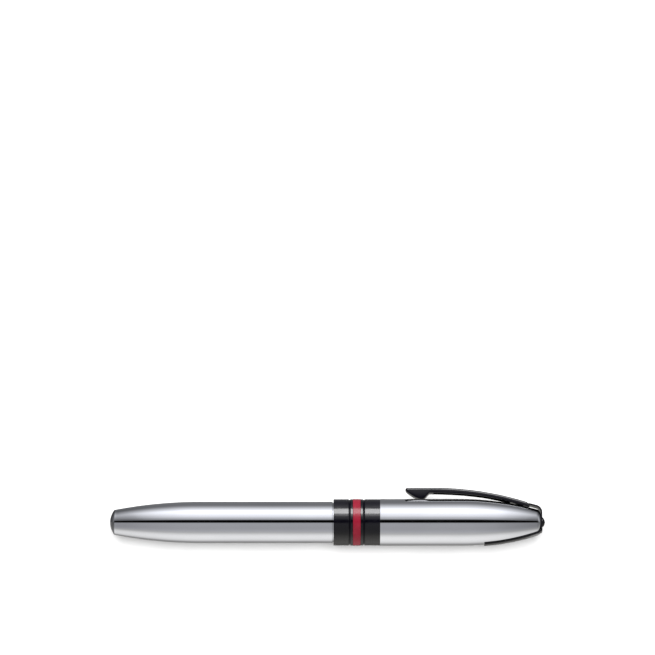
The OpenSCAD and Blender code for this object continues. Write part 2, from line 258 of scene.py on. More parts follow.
class Recipe:
    """A node material in the making. Sockets are named with _ for a space."""

    def __init__(self, name, **sockets):
        self.material = bpy.data.materials.new(name)
        self.material.use_nodes = True
        self.tree = self.material.node_tree
        self.shader = self.tree.nodes["Principled BSDF"]
        self.place = add_node(self.tree, "TexCoord").outputs["Object"]
        for socket, value in sockets.items():
            self.shader.inputs[socket.replace("_", " ")].default_value = value

    def link(self, start, end):
        """Joins an output to an input."""
        self.tree.links.new(start, end)

    def noise(self, scale, detail=3.0, stretch=(1, 1, 1), rough=0.5):
        """Noise with features about 1 / scale metres across, stretched along the axes."""
        mapping = add_node(self.tree, "Mapping")
        mapping.inputs["Scale"].default_value = stretch
        self.link(self.place, mapping.inputs["Vector"])
        noise = add_node(self.tree, "TexNoise")
        noise.inputs["Scale"].default_value = scale
        noise.inputs["Detail"].default_value = detail
        noise.inputs["Roughness"].default_value = rough
        self.link(mapping.outputs["Vector"], noise.inputs["Vector"])
        return noise.outputs["Fac"]

    def spread(self, value, low, high, start=0.35, end=0.65):
        """Maps the middle of a noise to a range of numbers."""
        ramp = add_node(self.tree, "MapRange", interpolation_type="SMOOTHSTEP")
        for key, number in (("From Min", start), ("From Max", end), ("To Min", low), ("To Max", high)):
            ramp.inputs[key].default_value = number
        self.link(value, ramp.inputs["Value"])
        return ramp.outputs["Result"]

    def colour(self, value, low, high):
        """Base colour between two colours, by a value from 0 to 1."""
        mix = add_node(self.tree, "Mix", data_type="RGBA")
        mix.inputs["A"].default_value = (*low, 1)
        mix.inputs["B"].default_value = (*high, 1)
        self.link(value, mix.inputs["Factor"])
        self.link(mix.outputs["Result"], self.shader.inputs["Base Color"])

    def roughness(self, value):
        """Roughness by a value."""
        self.link(value, self.shader.inputs["Roughness"])

    def bump(self, value, height):
        """Relief of a height in metres."""
        bump = add_node(self.tree, "Bump")
        bump.inputs["Strength"].default_value = 1.0
        bump.inputs["Distance"].default_value = height
        self.link(value, bump.inputs["Height"])
        self.link(bump.outputs["Normal"], self.shader.inputs["Normal"])


def polished_metal(name, low, high, rough=(0.03, 0.07)):
    """Mirror plating with faint wipe marks and hairline scratches."""
    recipe = Recipe(name, Metallic=1.0)
    smudge = recipe.spread(recipe.noise(130, 4, (0.4, 1, 1)), 0, 1)
    recipe.colour(smudge, low, high)
    hair = recipe.spread(recipe.noise(900, 2, (0.12, 1.6, 1.6), 0.7), rough[0], rough[1])
    recipe.roughness(hair)
    recipe.bump(recipe.noise(2600, 2, (0.06, 1, 1)), 2e-8)
    return recipe.material


def gloss_black(name):
    """Black plating with a soft gloss, slightly worn along its length."""
    recipe = Recipe(name, IOR=1.5, Specular_IOR_Level=0.4)
    cloud = recipe.spread(recipe.noise(220, 3), 0, 1)
    recipe.colour(cloud, (0.0014, 0.0012, 0.0034), (0.0022, 0.0019, 0.0046))
    recipe.roughness(recipe.spread(recipe.noise(1500, 3, (0.3, 1, 1)), 0.13, 0.20))
    recipe.bump(recipe.noise(4000, 2), 6e-8)
    return recipe.material


def red_lacquer(name):
    """Deep red lacquer."""
    recipe = Recipe(name, IOR=1.5, Specular_IOR_Level=0.17)
    cloud = recipe.spread(recipe.noise(400, 3), 0, 1)
    recipe.colour(cloud, (0.155, 0.006, 0.016), (0.175, 0.008, 0.020))
    recipe.roughness(recipe.spread(recipe.noise(1800, 3), 0.16, 0.24))
    recipe.bump(recipe.noise(5000, 2), 5e-8)
    return recipe.material


def resin(name, low, high, rough, relief):
    """Moulded plastic, from polished to matte."""
    recipe = Recipe(name, IOR=1.5)
    recipe.colour(recipe.spread(recipe.noise(260, 3), 0, 1), low, high)
    recipe.roughness(recipe.spread(recipe.noise(700, 3), *rough))
    recipe.bump(recipe.noise(1400, 3), relief)
    return recipe.material


def brushed(name, low, high, rough, lines=(0.05, 1, 1)):
    """Plain or turned metal with fine tool lines."""
    recipe = Recipe(name, Metallic=1.0)
    recipe.colour(recipe.spread(recipe.noise(500, 3), 0, 1), low, high)
    recipe.roughness(recipe.spread(recipe.noise(2500, 3, lines), *rough))
    recipe.bump(recipe.noise(5000, 3, lines), 3e-7)
    return recipe.material


def clear_plastic(name):
    """Clear moulded tube with a faint film of ink inside."""
    recipe = Recipe(name, IOR=1.49, Transmission_Weight=0.92)
    recipe.colour(recipe.spread(recipe.noise(180, 3, (0.5, 1, 1)), 0, 1),
                  (0.72, 0.80, 0.86), (0.93, 0.96, 0.97))
    recipe.roughness(recipe.spread(recipe.noise(600, 3), 0.03, 0.09))
    recipe.bump(recipe.noise(900, 2), 1.5e-7)
    return recipe.material


CHROME = polished_metal("polished_shell", (0.595, 0.605, 0.65), (0.62, 0.63, 0.675))
TRIM = polished_metal("plated_trim", (0.66, 0.665, 0.68), (0.70, 0.705, 0.72), (0.05, 0.1))
BLACK = gloss_black("black_plate")
RED = red_lacquer("red_lacquer")
BLACK_RESIN = resin("black_resin", (0.010, 0.010, 0.013), (0.016, 0.016, 0.019), (0.08, 0.18), 1e-7)
FEED_RESIN = resin("feed_resin", (0.012, 0.012, 0.013), (0.022, 0.022, 0.023), (0.4, 0.55), 1e-6)
LINER = resin("liner_resin", (0.020, 0.020, 0.022), (0.034, 0.034, 0.036), (0.45, 0.6), 1e-6)
RUBBER = resin("soft_seal", (0.010, 0.010, 0.010), (0.018, 0.018, 0.018), (0.6, 0.75), 2e-6)
STEEL = brushed("spring_steel", (0.50, 0.50, 0.52), (0.60, 0.60, 0.62), (0.22, 0.38))
NIB_STEEL = brushed("nib_steel", (0.66, 0.66, 0.67), (0.74, 0.74, 0.75), (0.12, 0.22), (0.1, 1, 1))
BRASS = brushed("brass", (0.66, 0.47, 0.20), (0.74, 0.55, 0.26), (0.2, 0.34))
CLEAR = clear_plastic("clear_plastic")

LOOKS = {
    "polished_shell": CHROME, "plated_trim": TRIM, "black_plate": BLACK, "red_lacquer": RED,
    "black_resin": BLACK_RESIN, "feed_resin": FEED_RESIN, "liner_resin": LINER,
    "soft_seal": RUBBER, "spring_steel": STEEL, "nib_steel": NIB_STEEL, "brass": BRASS,
    "clear_plastic": CLEAR,
}


def dress_cad_nodes():
    """Gives every node of the frame the material of its slot."""
    for subpart in frame["record"]["subparts"]:
        mesh = frame["nodes"][subpart["node"]].data
        mesh.materials.clear()
        mesh.materials.append(LOOKS[subpart["material_slot"]])


# ---------------------------------------------------------------- cap

def nose_end(lift, x_from, x_end, edge, count):
    """Outline along the cap's nose, moved out by lift, that turns down onto a flat end."""
    reach = NOSE_ARC + lift
    inner = reach - edge
    centre_x = x_end - edge
    centre_r = CAP_R - NOSE_ARC + math.sqrt(inner ** 2 - (centre_x - NOSE_X) ** 2)
    turn = math.asin((centre_x - NOSE_X) / inner)
    points = []
    for a in steps(math.asin((x_from - NOSE_X) / reach), turn, count):
        points.append((NOSE_X + reach * math.sin(a), CAP_R - NOSE_ARC + reach * math.cos(a)))
    for a in steps(turn, math.pi / 2, 8)[1:]:
        points.append((centre_x + edge * math.sin(a), centre_r + edge * math.cos(a)))
    return points


def cap_shell():
    """The bright shell, with the slot that the clip's tang goes through."""
    slot_x0, slot_x1, slot_w = 58.6, 62.3, 3.1
    past_slot = slot_x1 + 0.3
    mouth_edge, end_edge, end_wall, hole_r = 0.06, 1.5, 0.9, 0.85
    inner_end = SHELL_X1 - end_wall
    along_slot = steps(slot_x0, slot_x1, 8)
    outline = eased([(SHELL_X0, SLEEVE_R), (SHELL_X0, CAP_R, mouth_edge), (SHELL_X0 + 3, CAP_R)])
    outline += [(x, CAP_R) for x in steps(SHELL_X0 + 6, NOSE_X - 3, 8)]
    outline += [(x, nose_height(x)) for x in steps(NOSE_X, slot_x0, 30)[:-1] + along_slot]
    outline += nose_end(0, past_slot, SHELL_X1, end_edge, 10)
    outline += [(SHELL_X1, hole_r), (inner_end, hole_r)]
    inside = steps(inner_end, past_slot, 5) + along_slot[::-1] + steps(slot_x0, NOSE_X, 16)[1:]
    outline += [(x, nose_height(x) - SHELL_WALL) for x in inside]
    bm = bmesh.new()
    add_turned(bm, outline, closed=True)
    gone = []
    for face in bm.faces:
        x, y, z = face.calc_center_median() / MM
        if slot_x0 < x < slot_x1 and abs(z) < slot_w / 2 and y > 0:
            gone.append(face)
    bmesh.ops.delete(bm, geom=gone, context="FACES")
    rim = [edge for edge in bm.edges if edge.is_boundary]
    bmesh.ops.bridge_loops(bm, edges=rim)
    return finish_mesh("cap_shell", bm)


def grooved_ring(node, x0, x1, groove_x):
    """A black ring of the cap's band, with one thin V-shaped groove."""
    depth, edge, groove_edge = 0.29, 0.07, 0.04
    outline = eased([
        (x0, SLEEVE_R), (x0, BAND_R, edge), (groove_x, BAND_R, groove_edge),
        (groove_x + GROOVE_W / 2, BAND_R - depth, groove_edge),
        (groove_x + GROOVE_W, BAND_R, groove_edge), (x1, BAND_R, edge), (x1, SLEEVE_R)])
    return turned(node, outline)


def cap_band():
    """The two black rings and the slightly crowned red ring between them."""
    land, crown, edge, crown_edge = 0.7, 0.02, 0.1, 3
    grooved_ring("cap_lip_ring", LIP_X, LIP_X1, LIP_X1 - land - GROOVE_W)
    grooved_ring("cap_upper_ring", UPPER_X0, UPPER_X1, UPPER_X0 + land)
    turned("cap_red_ring", eased([
        (RED_X0, SLEEVE_R), (RED_X0, CAP_R - crown, edge),
        ((RED_X0 + RED_X1) / 2, CAP_R, crown_edge), (RED_X1, CAP_R - crown, edge),
        (RED_X1, SLEEVE_R)]))


def strap_path():
    """Outer line of the strap, from behind the clip, round the crown, to the tail's end."""
    lift = STRAP_GAP_CLIP + STRAP_T
    top = nose_end(lift, STRAP_START_X, STRAP_X, STRAP_CORNER_CLIP, 8)
    lift = STRAP_GAP_TAIL + STRAP_T
    tail = [(x, -y) for x, y in nose_end(lift, STRAP_END_X, STRAP_X, STRAP_CORNER_TAIL, 24)]
    across = [(STRAP_X, y) for y in steps(top[-1][1], tail[-1][1], 10)[1:-1]]
    return top + across + tail[::-1]


def crown_strap():
    """One bent strip with rounded edges. Its long leg is curved to hug the cap, and narrows."""
    edge_under, edge_top, root = 0.06, 0.16, ROOT_R + ROOT_GAP
    hug_from, hug_over = 3.2, 0.8                       # starts to hug at this height, fully after that
    narrower, narrow_from, narrow_over = 0.5, 66, 12    # on each side, from this place over that length
    path = [Vector(p) for p in strap_path()]
    sections = []
    for i, point in enumerate(path):
        along = (path[min(i + 1, len(path) - 1)] - path[max(i - 1, 0)]).normalized()
        inward = Vector((along.y, -along.x))
        hug = max(0, min(1, (-point.y - hug_from) / hug_over))
        half = STRAP_W - narrower * hug * min(1, (narrow_from - point.x) / narrow_over)
        outline = []
        for across, up in oval_box(half, -STRAP_T, 0, edge_under, edge_top):
            spot = point - inward * up
            if hug:
                spot.y += hug * (-spot.y - math.sqrt(spot.y ** 2 - across ** 2))
            if i == 0:
                spot.x = PIVOT[0] + math.sqrt(root ** 2 - (spot.y - PIVOT[1]) ** 2)
            outline.append((spot.x, spot.y, across))
        sections.append(outline)
    bm = bmesh.new()
    add_loft(bm, sections)
    return finish_mesh("crown_strap", bm)


def crown_button():
    """The domed button on its shank."""
    radius, shank, shank_x, rim = 1.65, 0.8, 62.5, 0.12
    seat_x = STRAP_X - 0.01
    height = CROWN_X - STRAP_X
    dome = (radius ** 2 + height ** 2) / (2 * height)
    turn = 0.93 * math.asin(radius / dome)
    centre = CROWN_X - dome
    outline = [(shank_x, 0), (shank_x, shank), (seat_x, shank)]
    outline += eased([(seat_x, shank), (seat_x, radius, 0.05), (STRAP_X + rim, radius, 0.1)])[1:]
    outline += [(centre + dome * math.cos(a), dome * math.sin(a)) for a in steps(turn, 0, 16)]
    return turned("crown_button", outline, closed=False, segments=SMALL_SEGMENTS)


# ---------------------------------------------------------------- clip

def clip_top(x):
    """Height of the arm's upper side: flat at the front, then bent down to the crown."""
    if x < CLIP_ARC_X:
        return CLIP_TOP
    return CLIP_TOP - CLIP_ARC + math.sqrt(CLIP_ARC ** 2 - (x - CLIP_ARC_X) ** 2)


def clip_low(x):
    """Height of the arm's underside, with the foot near its tip."""
    more, slim_x, slim_over, foot_gap = 0.25, 50, 12, 0.07
    thick = CLIP_T + more * max(0, min(1, (slim_x - x) / slim_over))
    flat, foot_low = CLIP_TOP - thick, CAP_R + foot_gap
    if x < CLIP_ARC_X:
        low = flat
    else:
        low = CLIP_TOP - CLIP_ARC + math.sqrt((CLIP_ARC - thick) ** 2 - (x - CLIP_ARC_X) ** 2)
    nose = [(CLIP_X0, CLIP_TOP - 0.85), (24.8, CLIP_TOP - 1.15), (25.9, CLIP_TOP - 1.98)]
    foot = [(27.3, 7.93), (28.3, foot_low + 0.12), (29.2, foot_low), (30.5, foot_low), (32.1, flat)]
    corners = nose + foot
    for (x0, y0), (x1, y1) in zip(corners, corners[1:]):
        if x0 <= x <= x1:
            low = y0 + (y1 - y0) * (x - x0) / (x1 - x0)
    return low


def clip_half_width(x):
    """Half the arm's width, which grows from the tip to where the arm is full width."""
    tip_w, widen_x = 1.85, 55.0
    return tip_w + (CLIP_W - tip_w) * min(1, (x - CLIP_X0) / (widen_x - CLIP_X0))


def clip_section(x, half, low, top):
    """Points (across, up) round the arm: rounded on top, with the pressed channel underneath.

    Where the arm runs down to the cap, its underside follows the cap's round surface.
    """
    sheet, start, end, edge_low, edge_top = 0.5, 33.5, 57.5, 0.07, 0.62
    least, flat_share = 0.02, 0.7
    hollow = start < x < end
    roof = top - sheet if hollow else low
    side = half - sheet if hollow else flat_share * half
    points = oval_box(half, low, top, edge_low, edge_top)
    under = 3 * len(points) // 4
    middle = [(across, roof) for across in steps(-side, side, 10)]
    points = points[:under] + [(-side, low)] + middle + [(side, low)] + points[under:]
    clear = CLEAR_FRONT if x < PIVOT[0] else CLEAR_BACK
    surface = nose_height(x, clear) if x > NOSE_X else 0
    section = []
    for across, up in points:
        cap_up = math.sqrt(max(0, surface ** 2 - across ** 2))
        section.append((across, max(up, min(top - least, cap_up))))
    return section


def root_top(x):
    """Height of the round end of the clip's root."""
    return PIVOT[1] + math.sqrt(max(0, ROOT_R ** 2 - (x - PIVOT[0]) ** 2))


def clip_places():
    """Places of the arm's sections: close at the tip, and at both ends of the channel."""
    end_x = CLIP_X1
    while root_top(end_x) < nose_height(end_x, CLEAR_BACK) + 0.04:
        end_x -= 0.01
    tip = [CLIP_X0 + step for step in (0, 0.03, 0.1, 0.2, 0.32, 0.45)]
    return tip + steps(25.15, 33.4, 32) + steps(33.55, 57.4, 44) + steps(57.6, end_x, 22)


def clip_arm():
    """The sprung arm with its blunt nose, its foot and the tang inside the cap."""
    tip_long, tip_down, tip_narrow, tip_flat = 0.65, 0.6, 0.55, 0.08
    least_root = 0.3
    root_x = CLIP_X1
    for attempt in range(60):   # closes in on where the arm's top meets the round end
        root_x = PIVOT[0] + math.sqrt(ROOT_R ** 2 - (clip_top(root_x) - PIVOT[1]) ** 2)
    sections = []
    for x in clip_places():
        top, low = clip_top(x), clip_low(x)
        from_tip = min(1, (x - CLIP_X0) / tip_long)
        nose = math.sqrt(max(0, 1 - (1 - from_tip) ** 2))
        half = clip_half_width(x) * (tip_narrow + (1 - tip_narrow) * nose)
        if x > root_x:
            top = root_top(x)
            low = min(low, top - least_root)
        if x < CLIP_X0 + tip_long:
            middle = CLIP_TOP - tip_down
            top = middle + (top - middle) * max(nose, tip_flat)
            low = middle - (middle - low) * max(nose, tip_flat)
        sections.append([(x, up, across) for across, up in clip_section(x, half, low, top)])
    bm = bmesh.new()
    add_loft(bm, sections)
    add_tang(bm)
    return finish_mesh("clip_arm", bm, sharp=40)


def add_tang(bm):
    """The tang: a plate with a round end about the pin, without the pin's hole."""
    half, radius, top = 1.4, 1.2, 2.0
    outline = [(PIVOT[0] + radius * math.cos(a), PIVOT[1] + radius * math.sin(a))
               for a in steps(math.pi, TAU, 24)]
    outline += [(PIVOT[0] + radius, PIVOT[1] + top), (PIVOT[0] - radius, PIVOT[1] + top)]
    add_loft(bm, [[(x, y, z) for x, y in outline] for z in (-half, half)])


# ---------------------------------------------------------------- barrel

def tail_end():
    """Outline of the barrel's domed end and of the small curve from there onto its taper."""
    meet_r, corner_on, corner_up, curve_long = 3.62, 0.18, 0.02, 0.75
    centre_x = BARREL_X0 + TAIL_DOME
    outline = [(centre_x - TAIL_DOME * math.cos(a), TAIL_DOME * math.sin(a))
               for a in steps(0, math.asin(meet_r / TAIL_DOME), 18)]
    corner_x, end_x = outline[-1][0] + corner_on, outline[-1][0] + curve_long
    corner = Vector((corner_x, taper_height(corner_x) + corner_up))
    end = (end_x, taper_height(end_x))
    for t in steps(0, 1, 8)[1:-1]:      # each step sets out from the last, which tightens the curve
        last = Vector(outline[-1])
        spot = last * (1 - t) ** 2 + corner * 2 * t * (1 - t) + Vector(end) * t ** 2
        outline.append(tuple(spot))
    return outline + [end]


def barrel_shell():
    """The bright barrel: a long taper, a domed end and the tenon that enters the cap."""
    wall, end_wall, tenon_x = 0.6, 3.5, 3.4
    tenon_r, bore, cavity_x = BARREL_R - 0.3, BARREL_R - wall, BARREL_X0 + end_wall
    outline = tail_end()
    outline += [(x, taper_height(x)) for x in steps(outline[-1][0] + 0.5, TAPER_X, 50)]
    outline += [(x, BARREL_R) for x in steps(TAPER_X + 4, SHOULDER_X - 3, 8)]
    outline += eased([(SHOULDER_X - 1.5, BARREL_R), (SHOULDER_X, BARREL_R, 0.12),
                      (SHOULDER_X, tenon_r), (tenon_x, tenon_r, 0.1), (tenon_x, bore)])
    outline += [(x, bore) for x in steps(tenon_x - 4, TAPER_X, 4)]
    outline += [(x, taper_height(x) - wall) for x in steps(TAPER_X - 2, cavity_x, 14)]
    outline.append((cavity_x, 0))
    return turned("barrel_shell", outline, closed=False)


# ---------------------------------------------------------------- inside the cap

def cap_inside():
    """The band's sleeve, the snap collar, and the liner with its seal."""
    ring("cap_band_sleeve", BARREL_R, SLEEVE_R, 0.15, 0.05)
    x0, x1, _ = span("cap_snap_collar")
    ramp, thin, thick = 0.4, BARREL_R - 0.05, BARREL_R - 0.2
    turned("cap_snap_collar", eased([
        (x0, BARREL_R), (x0, thin), (x0 + ramp, thick, 0.3), (x1 - ramp, thick, 0.3),
        (x1, thin), (x1, BARREL_R)], closed=True))
    x0, x1, _ = span("inner_cap")
    step_x, narrow_x, end_x, inset = 35.2, 50.0, x1 - 0.7, 0.5
    wide_r, middle_r, narrow_r = CAP_R - 1.2, 4.6, 3.8
    outline = eased([
        (end_x, 0), (end_x, narrow_r, 0.5), (narrow_x, narrow_r, 0.2),
        (narrow_x + 0.01, middle_r, 0.2), (step_x, middle_r, 0.1), (step_x, wide_r, 0.2),
        (x0, wide_r, 0.3), (x0, CAP_R - inset, 0.2), (NOSE_X, CAP_R - inset)])
    outline += [(x, nose_height(x, -inset)) for x in steps(NOSE_X + 1, x1, 15)] + [(x1, 0)]
    turned("inner_cap", outline, closed=False)
    ring("inner_cap_seal", 4.35, 5.7, 0.12, 0.12)


def crown_fittings():
    """The washer and the six-sided nut that hold the crown's screw."""
    shank, nut_r, chamfer, chamfer_long = 0.8, 2.3, 0.25, 0.18
    side, half_side = math.pi / 3, math.pi / 6
    ring("crown_washer", shank + 0.05, 2.4, 0.05, 0.1, segments=SMALL_SEGMENTS)
    x0, x1, _ = span("crown_nut")

    def flats(x, r, a):
        from_middle = (a + half_side) % side - half_side
        return min(r, nut_r * math.cos(half_side) / math.cos(from_middle))

    turned("crown_nut", [
        (x0, shank), (x0, nut_r - chamfer), (x0 + chamfer_long, nut_r),
        (x1 - chamfer_long, nut_r), (x1, nut_r - chamfer), (x1, shank)],
        reach=flats, segments=SMALL_SEGMENTS)


def clip_pin():
    """The cross pin, with eased ends."""
    low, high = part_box("clip_pin")
    clear, edge = 0.015, 0.1
    radius, half = (high[0] - low[0]) / 2 / MM - clear, high[2] / MM
    sections = []
    for z, r in ((-half, radius - edge), (edge - half, radius), (half - edge, radius),
                 (half, radius - edge)):
        sections.append([(PIVOT[0] + r * math.cos(a), PIVOT[1] + r * math.sin(a), z)
                         for a in steps(0, TAU, 32)[:-1]])
    bm = bmesh.new()
    add_loft(bm, sections)
    return finish_mesh("clip_pin", bm)


# ---------------------------------------------------------------- inside the barrel

def barrel_inside():
    """The brass insert with its screw thread, and the soft ring at its mouth."""
    x0, x1, _ = span("barrel_thread_insert")
    inner, outer = 5.28, BARREL_R - 0.6
    outline = [(x, inner) for x in steps(x1, x0, 130)] + [(x0, outer), (x1, outer)]
    cut = thread(x0 + 0.4, x1 - 0.4, inner, 0.25, PITCH, outside=False)
    turned("barrel_thread_insert", outline, reach=cut)
    x0, x1, _ = span("barrel_o_ring")
    centre, half_w, half_h, middle_r = (x0 + x1) / 2, (x1 - x0) / 2, 0.3, 5.55
    turned("barrel_o_ring", [(centre + half_w * math.cos(a), middle_r + half_h * math.sin(a))
                             for a in steps(0, TAU, 24)[:-1]])


# ---------------------------------------------------------------- section

def snap_ring():
    """A sprung ring, split on the side away from the viewer."""
    x0, x1, r_out = span("cap_snap_ring")
    r_in, gap, edge_in, edge_out = 5.55, math.radians(5), 0.05, 0.28
    middle, half_w = (x0 + x1) / 2, (x1 - x0) / 2
    sections = []
    for a in steps(gap, TAU - gap, 150):
        turn = a - math.pi / 2
        sections.append([(middle + across, up * math.cos(turn), up * math.sin(turn))
                         for across, up in oval_box(half_w, r_in, r_out, edge_in, edge_out)])
    bm = bmesh.new()
    add_loft(bm, sections)
    return finish_mesh("cap_snap_ring", bm)


def grip_section():
    """The part that the fingers hold, with the snap ring's groove in its collar, and its end ring."""
    x0, x1, _ = span("grip_section")
    collar_r, collar_x, grip_r, waist_x, waist_r, flare_r = 5.9, 11.5, 5.6, 29.0, 4.3, 4.9
    groove_x0, groove_x1, floor_r, groove_edge, edge = 8.2, 9.2, 5.5, 0.06, 0.12
    back_bore, back_x, middle_bore, middle_x, front_bore = 4.6, 12, 3.9, 19, 3.55
    grip_x = collar_x + 0.3
    outline = eased([
        (x0, back_bore), (x0, collar_r, edge), (groove_x0, collar_r, groove_edge),
        (groove_x0, floor_r, groove_edge), (groove_x1, floor_r, groove_edge),
        (groove_x1, collar_r, groove_edge), (collar_x, collar_r, edge),
        (grip_x, grip_r, 0.1), (collar_x + 0.8, grip_r - 0.04)])
    for t in steps(0.05, 1, 28):
        outline.append((grip_x + t * (waist_x - grip_x), waist_r + (grip_r - waist_r) * (1 - t) ** 1.35))
    for t in steps(0.1, 1, 10):
        outline.append((waist_x + t * (x1 - waist_x), waist_r + (flare_r - waist_r) * t ** 1.6))
    outline += [(x1, front_bore), (middle_x, front_bore), (middle_x, middle_bore),
                (back_x, middle_bore), (back_x, back_bore)]
    turned("grip_section", outline)
    x0, x1, _ = span("section_end_ring")
    slope = 0.4
    turned("section_end_ring", eased([
        (x0, front_bore), (x0, flare_r), (x0 + 0.5, flare_r), (x1 - slope, flare_r, 0.3),
        (x1, flare_r - slope, 0.3), (x1, front_bore, 0.15)], closed=True))


def section_coupling():
    """The metal coupling: a screw thread for the barrel, a flange, and the part in the section."""
    x0, x1, flange_r = span("section_coupling")
    bore, nipple_r, socket_r, flange_x0, flange_x1 = 3.9, 5.2, 4.6, 3.5, 4.5
    chamfer, depth, edge, flange_edge = 0.3, 0.25, 0.1, 0.08
    outline = [(x0, bore), (x0, nipple_r - chamfer)]
    outline += [(x, nipple_r) for x in steps(x0 + chamfer, flange_x0 - 1.1, 125)]
    outline += eased([
        (flange_x0 - 1, nipple_r), (flange_x0, nipple_r, edge), (flange_x0, flange_r, flange_edge),
        (flange_x1, flange_r, flange_edge), (flange_x1, socket_r), (x1, socket_r, edge), (x1, bore)])
    screw = thread(x0 + chamfer + 0.1, flange_x0 - 1.2, nipple_r, depth, PITCH)
    turned("section_coupling", outline, reach=screw)


def nib_housing():
    """The housing round the nib and feed, with the inlet that the converter pushes onto."""
    x0, x1, _ = span("nib_housing")
    inlet_r, bore, seat_r, seat_x, body_r, body_x = 1.9, 0.6, 3.9, 17.0, 3.55, 19.0
    pocket_r, pocket_x = 2.75, 20.0
    turned("nib_housing", eased([
        (x0, bore, 0.1), (x0, inlet_r, 0.3), (seat_x, inlet_r, 0.2), (seat_x, seat_r, 0.1),
        (body_x, seat_r, 0.05), (body_x, body_r, 0.05), (x1, body_r, 0.2), (x1, pocket_r, 0.1),
        (pocket_x, pocket_r), (pocket_x, bore)], closed=True))


def add_ball(bm, centre, radius):
    """Adds a ball to bm, in mm."""
    made = bmesh.ops.create_uvsphere(bm, u_segments=32, v_segments=20, radius=radius * MM)
    bmesh.ops.translate(bm, verts=made["verts"], vec=Vector(centre) * MM)


def nib():
    """The nib: a half-round sheet that narrows past its shoulders, with a breather and a slit."""
    x0, _, _ = span("nib")
    shoulder_x, tip_x, body_r, tip_r, thick, tip_ball = 39.0, 55.0, 2.75, 0.5, 0.25, 0.42
    hole_x, hole_r, slit = 42.0, 0.5, 0.05
    wrap, cut_back, around = 90, 26, 16     # degrees to the edge, how much less past the shoulders, steps
    places = steps(x0, hole_x - hole_r, 40)
    places += [hole_x - hole_r * math.cos(a) for a in steps(0.15, 3.0, 18)]
    places += steps(hole_x + hole_r + 0.03, tip_x, 50)
    bm = bmesh.new()
    for side in (1, -1):
        rows = []
        for x in places:
            t = max(0, (x - shoulder_x) / (tip_x - shoulder_x))
            radius = body_r + (tip_r - body_r) * t
            edge_y = 0 if x < hole_x else slit
            if abs(x - hole_x) < hole_r:
                edge_y = max(edge_y, math.sqrt(hole_r ** 2 - (x - hole_x) ** 2))
            first = math.asin(edge_y / radius)
            last = math.radians(wrap - cut_back * math.sin(math.pi * min(1, t * 1.1)) ** 2)
            row = []
            for a in steps(first, last, around):
                y, z = side * radius * math.sin(a), radius * math.cos(a)
                row.append(bm.verts.new((x * MM, y * MM, z * MM)))
            rows.append(row)
        for near, far in zip(rows, rows[1:]):
            for i in range(around):
                bm.faces.new((near[i], far[i], far[i + 1], near[i + 1]))
    bmesh.ops.remove_doubles(bm, verts=bm.verts, dist=1e-6)
    bmesh.ops.recalc_face_normals(bm, faces=bm.faces)
    bmesh.ops.solidify(bm, geom=bm.faces[:], thickness=thick * MM)
    add_ball(bm, (tip_x, 0, tip_r / 2), tip_ball)
    return finish_mesh("nib", bm)


def feed():
    """The feed: a round stem with fins below, a channel on top and a long pointed neck."""
    x0, x1, _ = span("feed")
    top_r, low_r, tip_r, fin_floor, neck_x = 2.5, 2.75, 0.5, 1.7, 37.0
    slot_x, slot_step, slot_w, slots, lean = 34.6, 0.5, 0.25, 5, 0.002
    fins_below, channel, channel_top = -0.6, 0.3, 0.99
    outline = [(x0, 0), (x0, low_r), (slot_x - 1, low_r)]
    for i in range(slots):
        start = slot_x + slot_step * i
        end = start + slot_w
        outline += [(start, low_r), (start + lean, fin_floor), (end - lean, fin_floor), (end, low_r)]
    outline += [(neck_x, low_r), (neck_x + 0.02, top_r)]
    outline += [(neck_x + (x1 - neck_x) * t, top_r + (tip_r - top_r) * t) for t in steps(0.05, 1, 20)]
    outline.append((x1 + 0.001, 0))

    def form(x, r, a):
        up = math.sin(a)
        full = top_r if up > 0 else low_r
        if x > neck_x:
            full = r
        if r == fin_floor and up * low_r < fins_below:
            return r
        if up > channel_top and x < x1 - 1:
            return full - channel * min(1, full / top_r)
        return full

    return turned("feed", outline, closed=False, reach=form)


# ---------------------------------------------------------------- converter

def converter_body():
    """The clear chamber, its metal sleeve, the rod's bush and the loose ball."""
    x0, x1, outer = span("converter_barrel")
    chamber, wall_x, middle_x, bore = outer - 0.6, 12.5, -10, 1.95
    turned("converter_barrel", eased([
        (x0, chamber), (x0, outer), (middle_x, outer), (wall_x, outer), (x1 - 0.8, outer, 0.4),
        (x1, outer - 0.5, 0.3), (x1, bore, 0.4), (wall_x, bore, 0.1), (wall_x, chamber, 0.4),
        (middle_x, chamber)], closed=True))
    x0, x1, _ = span("converter_sleeve")
    bead_x, depth, lead, chamfer = x1 - 2, 0.12, 0.15, 0.1
    outline = [(x0, chamber), (x0, outer - chamfer), (x0 + lead, outer), (bead_x - 0.6, outer)]
    outline += eased([(bead_x - 0.5, outer), (bead_x - 0.3, outer - depth, 0.1),
                      (bead_x + 0.3, outer - depth, 0.1), (bead_x + 0.5, outer)])
    outline += [(x1 - lead, outer), (x1, outer - chamfer), (x1, chamber)]
    turned("converter_sleeve", outline)
    ring("rod_bush", 1.25, chamber, 0.15, 0.1)
    low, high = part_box("agitator_ball")
    bm = bmesh.new()
    add_ball(bm, [(a + b) / 2 / MM for a, b in zip(low, high)], (high[0] - low[0]) / 2 / MM)
    finish_mesh("agitator_ball", bm, sharp=180)


